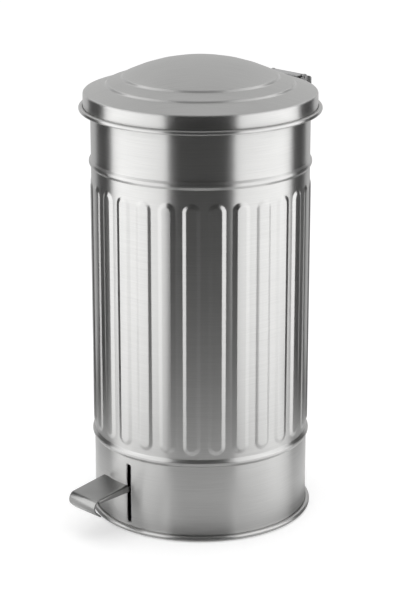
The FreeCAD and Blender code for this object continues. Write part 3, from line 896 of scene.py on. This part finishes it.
FINISHES: tuple[Finish, ...] = (
    BrushedSheet("brushed_sheet", colour=(0.53, 0.529, 0.522), shade=(0.455, 0.454, 0.449),
                 roughness=(0.33, 0.37), anisotropy=0.93, fineness=2300.0, heading=math.radians(45),
                 smear=0.02),
    SatinSteel("pedal_steel", colour=(0.31, 0.31, 0.306), shade=(0.26, 0.26, 0.257),
               roughness=(0.3, 0.36), grain=700.0, bump=0.15, edge=0.5),
    SatinSteel("hinge_steel", colour=(0.42, 0.42, 0.42), shade=(0.36, 0.36, 0.36),
               roughness=(0.34, 0.42), grain=700.0, bump=0.15, edge=0.4),
    SatinSteel("zinc_steel", colour=(0.56, 0.57, 0.58), shade=(0.48, 0.49, 0.51),
               roughness=(0.32, 0.45), grain=420.0, bump=0.2, edge=0.4),
    SatinSteel("bright_wire", colour=(0.76, 0.76, 0.77), shade=(0.7, 0.7, 0.71),
               roughness=(0.12, 0.2), grain=900.0, bump=0.08, edge=0.2),
    Moulding("black_plastic", colour=(0.03, 0.03, 0.032), pale=(0.12, 0.12, 0.12),
             roughness=(0.42, 0.52), specular=0.45, grain=1300.0, bump=0.25, dust=0.12),
    Moulding("black_rubber", colour=(0.025, 0.025, 0.025), pale=(0.09, 0.09, 0.088),
             roughness=(0.75, 0.88), specular=0.3, grain=800.0, bump=0.3, dust=0.1),
)


class Wardrobe:
    """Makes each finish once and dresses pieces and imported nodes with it."""

    def __init__(self) -> None:
        """Makes all finishes."""
        shelf = EffectShelf()
        self.materials = {finish.name: finish.make(shelf) for finish in FINISHES}

    def dress(self, piece: bpy.types.Object, slot: str) -> None:
        """Gives a new piece the finish of a slot.

        Args:
            piece: The piece.
            slot: Name of the slot.
        """
        piece.data.materials.clear()
        piece.data.materials.append(self.materials[slot])

    def dress_nodes(self, parts: dict[str, bpy.types.Object], slots: dict[str, str]) -> None:
        """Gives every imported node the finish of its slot.

        Args:
            parts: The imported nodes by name.
            slots: The slot of each node.
        """
        for name, part in parts.items():
            if not part.material_slots:
                part.data.materials.append(None)
            for holder in part.material_slots:
                holder.material = self.materials[slots[name]]
            LOG.info("dressed %s with %s", name, slots[name])


# Sub-assemblies


@dataclass
class RibRow:
    """The upright ribs pressed out of the shell.

    The columns and rows set how closely the sheet's grid follows a rib: over its crest, down its sides,
    near its two ends and along the wall between them.
    """

    count: int = 28
    phase: float = math.radians(2.2)
    body_radius: float = 150 * MM
    half_foot: float = 13.1 * MM
    run: float = 7.6 * MM
    depth: float = 1.55 * MM
    low: float = 125.2 * MM
    high: float = 480 * MM
    margin: float = 2 * MM
    soft_share: float = 0.3
    crest_columns: tuple[float, ...] = (0.0, 0.35, 0.7)
    side_columns: int = 7
    end_start: float = -0.5 * MM
    end_step: float = 1.1 * MM
    end_rows: int = 13
    wall_rows: int = 4
    on_core: float = 1e-9

    def turns(self) -> list[float]:
        """Places the grid's columns, closest where a rib's side slopes.

        Returns:
            The angles in order, from the first rib's valley.
        """
        pitch = 2 * math.pi / self.count
        crest = self.half_foot - self.run
        offsets = [crest * share for share in self.crest_columns]
        offsets += [crest + self.run * k / self.side_columns for k in range(self.side_columns + 1)]
        offsets += [self.half_foot + (pitch / 2 * self.body_radius - self.half_foot) / 2]
        half = [offset / self.body_radius for offset in offsets]
        around = [-a for a in half[:0:-1]] + half + [pitch / 2]
        return [self.phase + i * pitch + a for i in range(self.count) for a in around]

    def rows(self) -> list[float]:
        """Places the grid's rows, closest at the ends of the ribs.

        Returns:
            The heights in order.
        """
        near = [self.end_start + self.end_step * k for k in range(self.end_rows)]
        low = [self.low + step for step in near]
        high = [self.high - step for step in reversed(near)]
        wall = [between((low[-1], high[0]), k / self.wall_rows) for k in range(1, self.wall_rows)]
        return low + wall + high

    def swell(self, turn: float, height: float) -> tuple[float, float, float]:
        """Works out how far the sheet is pressed out at a place.

        Args:
            turn: Angle around the bin.
            height: Height above the floor.

        Returns:
            The lift, its change by angle and its change by height.
        """
        if not self.low - self.margin < height < self.high + self.margin:
            return NO_SWELL
        pitch = 2 * math.pi / self.count
        offset = (turn - self.phase + pitch / 2) % pitch - pitch / 2
        across = offset * self.body_radius
        core = min(max(height, self.low + self.half_foot), self.high - self.half_foot)
        away = math.hypot(across, height - core)
        share = (self.half_foot - away) / self.run
        if share <= 0:
            return NO_SWELL
        if away < self.on_core:
            return self.depth, 0.0, 0.0
        lift, slope = self._ease(min(share, 1.0))
        steep = -slope * self.depth / self.run
        by_turn = steep * across / away * self.body_radius
        return lift * self.depth, by_turn, steep * (height - core) / away

    def _ease(self, share: float) -> Span:
        """Follows an S-curve from 0 to 1 with a straight middle.

        Args:
            share: How far along the slope, from 0 to 1.

        Returns:
            The value and its slope.
        """
        soft = self.soft_share
        top = 1 / (1 - soft)
        if share < soft:
            return top * share * share / (2 * soft), top * share / soft
        if share > 1 - soft:
            rest = 1 - share
            return 1 - top * rest * rest / (2 * soft), top * rest / soft
        return top * (share - soft / 2), top


@dataclass
class BinBody:
    """The standing body: ribbed shell with beads, rolled rim and slot, and base pan with its hem."""

    radius: float = 150 * MM
    sheet: float = 0.8 * MM
    bottom: float = 1.4 * MM
    rim_top: float = 581 * MM
    rim_roll: float = 4.6 * MM
    rim_bends_below: float = 4.0
    lower_bead: float = 114 * MM
    upper_bead: float = 503 * MM
    bead_height: float = 11 * MM
    bead_depth: float = 2.8 * MM
    bead_crown: float = 3.3 * MM
    bead_corner: float = 2.6 * MM
    slot_x: float = 11 * MM
    slot_width: float = 6.4 * MM
    slot_low: float = 14 * MM
    slot_high: float = 98.5 * MM
    slot_patch: Span = (4 * MM, 105 * MM)
    slot_patch_half: float = math.radians(4.2)
    slot_rows: int = 12
    hem_radius: float = 156.2 * MM
    hem_low: float = 0.6 * MM
    hem_height: float = 7.6 * MM
    hem_gap: float = 1 * MM
    pan_floor: float = 9 * MM
    pan_gap: float = 1.2 * MM
    pan_corner: float = 1.5 * MM
    pan_corners_in: float = 6.0
    pan_turns: int = 240
    roll_share: float = 0.98
    ribs: RibRow = field(default_factory=RibRow)

    def build(self, wardrobe: Wardrobe) -> None:
        """Builds and dresses the shell and the pan.

        Args:
            wardrobe: The finishes.
        """
        for piece, node in ((self._shell(), "outer_shell"), (self._pan(), "base_pan")):
            wardrobe.dress(piece, "brushed_sheet")
            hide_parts(node)
            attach(piece, "bin_body")
            LOG.info("built %s with %d faces", piece.name, len(piece.data.polygons))

    def _bead(self, height: float) -> list[Corner]:
        """Draws one bead that stands out of the wall.

        Args:
            height: Height of the bead's middle.

        Returns:
            The corners of its path.
        """
        wall = self.radius - self.sheet / 2
        out = wall + self.bead_depth
        half = self.bead_height / 2
        crown = self.bead_crown / 2
        section = ((wall, -half), (out, -crown), (out, crown), (wall, half))
        return [(u, height + step, self.bead_corner) for u, step in section]

    def _shell(self) -> bpy.types.Object:
        """Builds the ribbed shell.

        Returns:
            The new object.
        """
        wall = self.radius - self.sheet / 2
        band = [between(self.slot_patch, k / self.slot_rows) for k in range(self.slot_rows + 1)]
        path: list[Corner] = [(wall, z, 0.0) for z in (self.bottom, *band)]
        path += self._bead(self.lower_bead) + [(wall, z, 0.0) for z in self.ribs.rows()]
        path += self._bead(self.upper_bead) + [(wall, self.upper_bead + self.bead_height, 0.0)]
        out = wall + self.rim_roll - self.sheet
        high = self.rim_top - self.sheet / 2
        low = self.rim_top - self.rim_roll + self.sheet / 2
        bend = (self.rim_roll - self.sheet) / 2 * self.roll_share
        path += [(wall, high - self.rim_bends_below * bend, 0.0), (wall, high, bend), (out, high, bend),
                 (out, low, bend), (wall + self.sheet, low, 0.0)]
        slot = Slot(middle=math.asin(self.slot_x / self.radius), half_width=self.slot_width / 2,
                    low=self.slot_low, high=self.slot_high, patch=self.slot_patch,
                    patch_half=self.slot_patch_half)
        sheet = TurnedSheet(SheetPath(path), self.sheet, self.ribs.turns(), self.ribs.swell, slot)
        return sheet.build("ribbed_shell")

    def _pan(self) -> bpy.types.Object:
        """Builds the base pan with its rolled hem.

        Returns:
            The new object.
        """
        half = self.sheet / 2
        floor = self.pan_floor - half
        wall = self.radius - self.sheet - self.pan_gap - half
        low = self.hem_low + half
        high = self.hem_low + self.hem_height - half
        out = self.hem_radius - half
        bend = (self.hem_height - self.sheet) / 2 * self.roll_share
        flat_end = wall - self.pan_corners_in * self.pan_corner
        path = [(0.0, floor, 0.0), (wall / 2, floor, 0.0), (flat_end, floor, 0.0),
                (wall, floor, self.pan_corner), (wall, low, self.sheet), (out, low, bend),
                (out, high, bend), (self.radius + self.hem_gap, high, 0.0)]
        sheet = TurnedSheet(SheetPath(path), self.sheet, even_turns(self.pan_turns))
        return sheet.build("base_pan_rolled")


@dataclass
class Lid:
    """The domed lid: two steps, sloping shoulder, skirt and rolled bead."""

    radius: float = 160 * MM
    sheet: float = 0.8 * MM
    bead_radius: float = 166 * MM
    bead_low: float = 573.5 * MM
    bead_height: float = 6.2 * MM
    shoulder: float = 598.8 * MM
    corner: float = 3.5 * MM
    outer_step: Span = (127 * MM, 611.3 * MM)
    inner_step: Span = (105 * MM, 620.4 * MM)
    step_drop: float = 3.2 * MM
    step_run: float = 3 * MM
    step_corner: float = 5 * MM
    dome_rise: float = 23.7 * MM
    roll_share: float = 0.98
    arc_step: float = 6.0
    turns: int = 288

    def build(self, wardrobe: Wardrobe) -> None:
        """Builds and dresses the lid.

        Args:
            wardrobe: The finishes.
        """
        path = SheetPath(self._path(), self.arc_step)
        piece = TurnedSheet(path, self.sheet, even_turns(self.turns)).build("domed_lid")
        wardrobe.dress(piece, "brushed_sheet")
        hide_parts("lid_shell")
        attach(piece, "lid")
        LOG.info("built %s with %d faces", piece.name, len(piece.data.polygons))

    def _path(self) -> list[Corner]:
        """Draws the lid's section, from the top of the dome to the end of the bead.

        Returns:
            The corners of the path.
        """
        half = self.sheet / 2
        edge, edge_z = self.inner_step
        dome = (edge ** 2 + self.dome_rise ** 2) / (2 * self.dome_rise)
        reach = dome * math.tan(math.asin(edge / dome) / 2)
        top = edge_z + self.dome_rise - half
        path: list[Corner] = [(0.0, top, 0.0), (reach, top, dome * self.roll_share)]
        for u, v in (self.inner_step, self.outer_step):
            path += [(u, v - half, self.step_corner),
                     (u + self.step_run, v - self.step_drop - half, self.step_corner)]
        skirt = self.radius - half
        out = self.bead_radius - half
        low = self.bead_low + half
        high = self.bead_low + self.bead_height - half
        bend = min(out - skirt, self.bead_height - self.sheet) / 2 * self.roll_share
        path += [(skirt, self.shoulder - half, self.corner), (skirt, low, bend), (out, low, bend),
                 (out, high, bend), (self.radius + self.sheet, high, 0.0)]
        return path


@dataclass
class SmallParts:
    """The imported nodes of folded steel, which get softened edges."""

    folded: tuple[str, ...] = ("pedal_tread", "hinge_bracket", "hinge_tongue", "lid_striker",
                               "pivot_bracket", "lever_bar")
    weld: float = 0.002 * MM
    edge: float = 0.35 * MM
    edge_angle: float = math.radians(40)
    edge_faces: int = 2

    def soften(self, parts: dict[str, bpy.types.Object]) -> None:
        """Rounds the cut edges of the folded sheets.

        Args:
            parts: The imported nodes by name.
        """
        for name in self.folded:
            part = parts[name]
            weld = part.modifiers.new("join_faces", "WELD")
            weld.merge_threshold = self.weld
            bevel = part.modifiers.new("soft_edge", "BEVEL")
            bevel.limit_method = "ANGLE"
            bevel.angle_limit = self.edge_angle
            bevel.width = self.edge
            bevel.segments = self.edge_faces
            bevel.harden_normals = True
            LOG.info("softened the edges of %s", name)


# Studio


def glowing() -> bpy.types.Material:
    """Makes the material of the cards once, as bright at each point as the mesh says.

    Returns:
        The material.
    """
    material = bpy.data.materials.get("card_glow")
    if material is None:
        material, sheet = new_material("card_glow")
        sheet.tree.nodes.clear()
        glow = sheet.node("ShaderNodeEmission")
        level = sheet.node("ShaderNodeAttribute", attribute_name="glow")
        sheet.feed(glow.inputs["Strength"], level.outputs["Fac"])
        sheet.surface(glow)
    return material


def only_reflected(card: bpy.types.Object, levels: Sequence[float]) -> None:
    """Lights a card for reflections only.

    Args:
        card: The card.
        levels: Brightness at each of its points.
    """
    card.data.attributes.new("glow", "FLOAT", "POINT").data.foreach_set("value", levels)
    card.data.materials.append(glowing())
    card.visible_camera = False
    card.visible_diffuse = False
    card.visible_shadow = False
    card.visible_transmission = False


ON_FLOOR: Span = (1 * MM, 1 * MM)


@dataclass(frozen=True)
class Card:
    """A curved card around the bin, upright or lying on the floor, that only reflections see.

    Its turns are degrees from the camera's side of the bin, and its glow runs from one end to the other.
    """

    name: str
    turns: Span
    radii: Span
    heights: Span
    glow: Span
    steps: int = 24

    def build(self, facing: float) -> None:
        """Builds the card.

        Args:
            facing: Angle around the bin that the card's angles count from.
        """
        draft = MeshDraft()
        columns: list[tuple[list[int], Vector]] = []
        levels: list[float] = []
        for k in range(self.steps + 1):
            share = k / self.steps
            out = outward(facing + math.radians(between(self.turns, share)))
            ends = [draft.point(out * r + UP * z) for r, z in zip(self.radii, self.heights)]
            columns.append((ends, -out))
            levels += [between(self.glow, share)] * len(ends)
        for (a, first), (b, second) in zip(columns, columns[1:]):
            draft.face([a[0], a[1], b[1], b[0]], [first, first, second, second])
        only_reflected(draft.to_object(self.name), levels)


@dataclass
class Studio:
    """Pale floor, soft light, cards for the steel to reflect, and the camera."""

    facing: float = math.radians(45.32)
    camera_distance: float = 2.8
    camera_height: float = 1.192
    camera_tilt: float = math.radians(17.68)
    focal_pixels: float = 2101.0
    image_height: float = 601.0
    sensor: float = 36.0
    floor_radius: float = 14.0
    floor_sides: int = 64
    floor_colour: Colour = (0.8, 0.8, 0.8)
    floor_lift: float = 0.33
    world_light: float = 0.85
    lamp_width: float = 2.4
    lamp_power: float = 14.0
    lamp_height: float = 2.2
    cards: tuple[Card, ...] = (
        Card("front_flag", (-29, 30.2), radii=(0.5, 0.5), heights=(0.0, 1.5), glow=(0.05, 0.05)),
        Card("left_panel", (-104, -27), radii=(0.7, 0.7), heights=(0.0, 1.05), glow=(2.2, 1.6)),
        Card("right_panel", (27, 104), radii=(0.7, 0.7), heights=(0.0, 1.05), glow=(1.6, 2.1)),
        Card("left_flag", (-123, -93), radii=(0.55, 0.55), heights=(0.0, 0.8), glow=(0.05, 0.05)),
        Card("right_flag", (96, 126), radii=(0.55, 0.55), heights=(0.0, 0.8), glow=(0.05, 0.05)),
        Card("back_card", (120, 240), radii=(0.8, 0.8), heights=(0.0, 0.5), glow=(0.68, 0.68)),
        Card("left_floor_card", (-150, -86), radii=(0.43, 0.73), heights=ON_FLOOR, glow=(0.2, 0.05)),
        Card("right_floor_card", (86, 150), radii=(0.43, 0.73), heights=ON_FLOOR, glow=(0.05, 0.2)),
        Card("left_floor_ramp", (-64, -27), radii=(0.2, 0.45), heights=ON_FLOOR, glow=(1.0, 0.4)),
        Card("right_floor_ramp", (27, 64), radii=(0.2, 0.45), heights=ON_FLOOR, glow=(0.4, 1.0)),
        # foot_shade is painted shadow: a dark ring on the floor at the bin's foot that stands in for its
        # contact shadow, seen only in reflections
        Card("foot_shade", (-180, 180), radii=(0.158, 0.188), heights=ON_FLOOR, glow=(0.12, 0.12),
             steps=96),
    )
    silk_radius: float = 6.0
    silk_turns: int = 48
    silk_leans: tuple[float, ...] = (4.0, 15.0, 30.0, 45.0, 60.0, 70.0, 80.0, 88.0)
    silk_glow: Span = (0.25, 1.0)
    silk_edge: Span = (0.05, 0.4)
    silk_fade: float = 0.35
    silk_fade_end: float = 45.0

    def build(self) -> None:
        """Builds everything around the bin."""
        self._floor()
        self._world()
        self._lamp()
        for card in self.cards:
            card.build(self.facing)
        self._silk()
        self._camera()
        bpy.context.scene.view_settings.view_transform = "Standard"
        LOG.info("set up the studio with %d cards", len(self.cards))

    def _floor(self) -> None:
        """Lays the pale floor, which keeps the bin's shadow."""
        draft = MeshDraft()
        ring = [draft.point(outward(t) * self.floor_radius) for t in even_turns(self.floor_sides)]
        draft.face(ring, [UP] * len(ring))
        floor = draft.to_object("studio_floor")
        material, sheet = new_material("studio_floor")
        sheet.tree.nodes.clear()
        paint = sheet.node("ShaderNodeBsdfDiffuse")
        paint.inputs["Color"].default_value = (*self.floor_colour, 1)
        lift = sheet.node("ShaderNodeEmission")
        sheet.feed(lift.inputs["Strength"], sheet.times(self._seen(sheet), self.floor_lift))
        both = sheet.node("ShaderNodeAddShader")
        sheet.feed(both.inputs[0], paint.outputs[0])
        sheet.feed(both.inputs[1], lift.outputs[0])
        sheet.surface(both)
        floor.data.materials.append(material)

    @staticmethod
    def _seen(sheet: NodeSheet) -> bpy.types.NodeSocket:
        """Tells rays from the camera, a mirror or glass from the rest.

        Args:
            sheet: Nodes of the material or the world.

        Returns:
            1 for those rays and 0 for the rest.
        """
        ray = sheet.node("ShaderNodeLightPath").outputs
        direct = sheet.math("MAXIMUM", ray["Is Camera Ray"], ray["Is Glossy Ray"])
        return sheet.math("MAXIMUM", direct, ray["Is Transmission Ray"])

    def _world(self) -> None:
        """Makes the world white where it is seen or mirrored, with a plain level of light elsewhere."""
        world = bpy.data.worlds.new("studio")
        world.use_nodes = True
        bpy.context.scene.world = world
        sheet = NodeSheet(world.node_tree)
        back = world.node_tree.nodes["Background"]
        back.inputs["Color"].default_value = (1, 1, 1, 1)
        sheet.feed(back.inputs["Strength"], sheet.level(self._seen(sheet), self.world_light, 1.0))

    def _lamp(self) -> None:
        """Hangs one broad soft lamp over the bin."""
        lamp = bpy.data.lights.new("overhead", "AREA")
        lamp.shape = "DISK"
        lamp.size = self.lamp_width
        lamp.energy = self.lamp_power
        holder = bpy.data.objects.new("overhead", lamp)
        holder.location = UP * self.lamp_height
        holder.visible_glossy = False
        bpy.context.scene.collection.objects.link(holder)

    def _silk(self) -> None:
        """Hangs a silk dome for the lid to reflect, pale behind the bin and dark over the camera."""
        draft = MeshDraft()
        turns = even_turns(self.silk_turns)
        rows: Grid = []
        levels: list[float] = []
        for lean in self.silk_leans:
            flat, high = math.cos(math.radians(lean)), math.sin(math.radians(lean))
            rows.append([draft.point((outward(t) * flat + UP * high) * self.silk_radius) for t in turns])
            fade = 1.0 - self.silk_fade * (1.0 - min(lean / self.silk_fade_end, 1.0))
            levels += [self._silk_level(math.cos(t - self.facing) * flat) * fade for t in turns]
        for low, high in zip(rows, rows[1:]):
            for i in range(len(turns)):
                n = (i + 1) % len(turns)
                ring = [low[i], high[i], high[n], low[n]]
                draft.face(ring, [-draft.points[c].normalized() for c in ring])
        draft.face(rows[-1][::-1], [-UP] * len(turns))
        only_reflected(draft.to_object("silk_dome"), levels)

    def _silk_level(self, forward: float) -> float:
        """Works out how bright the silk is before it fades towards the floor.

        Args:
            forward: How far towards the camera the place lies, from -1 to 1.

        Returns:
            The brightness.
        """
        start, end = self.silk_edge
        share = min(max((end - forward) / (end - start), 0.0), 1.0)
        return between(self.silk_glow, share)

    def _camera(self) -> None:
        """Sets the camera at the photograph's viewing angle."""
        data = bpy.data.cameras.new("camera")
        data.sensor_width = self.sensor
        data.lens = self.focal_pixels / self.image_height * self.sensor
        camera = bpy.data.objects.new("camera", data)
        camera.location = outward(self.facing) * self.camera_distance + UP * self.camera_height
        camera.rotation_euler = (math.pi / 2 - self.camera_tilt, 0.0, self.facing)
        bpy.context.scene.collection.objects.link(camera)
        bpy.context.scene.camera = camera


def main() -> None:
    """Builds the bin's pieces in order, then the studio around them."""
    logging.basicConfig(level=logging.INFO, format="%(message)s")
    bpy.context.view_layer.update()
    slots = {part["node"]: part["material_slot"] for part in frame["record"]["subparts"]}
    wardrobe = Wardrobe()
    wardrobe.dress_nodes(frame["nodes"], slots)
    SmallParts().soften(frame["nodes"])
    BinBody().build(wardrobe)
    Lid().build(wardrobe)
    Studio().build()


if __name__ == "__main__":
    main()
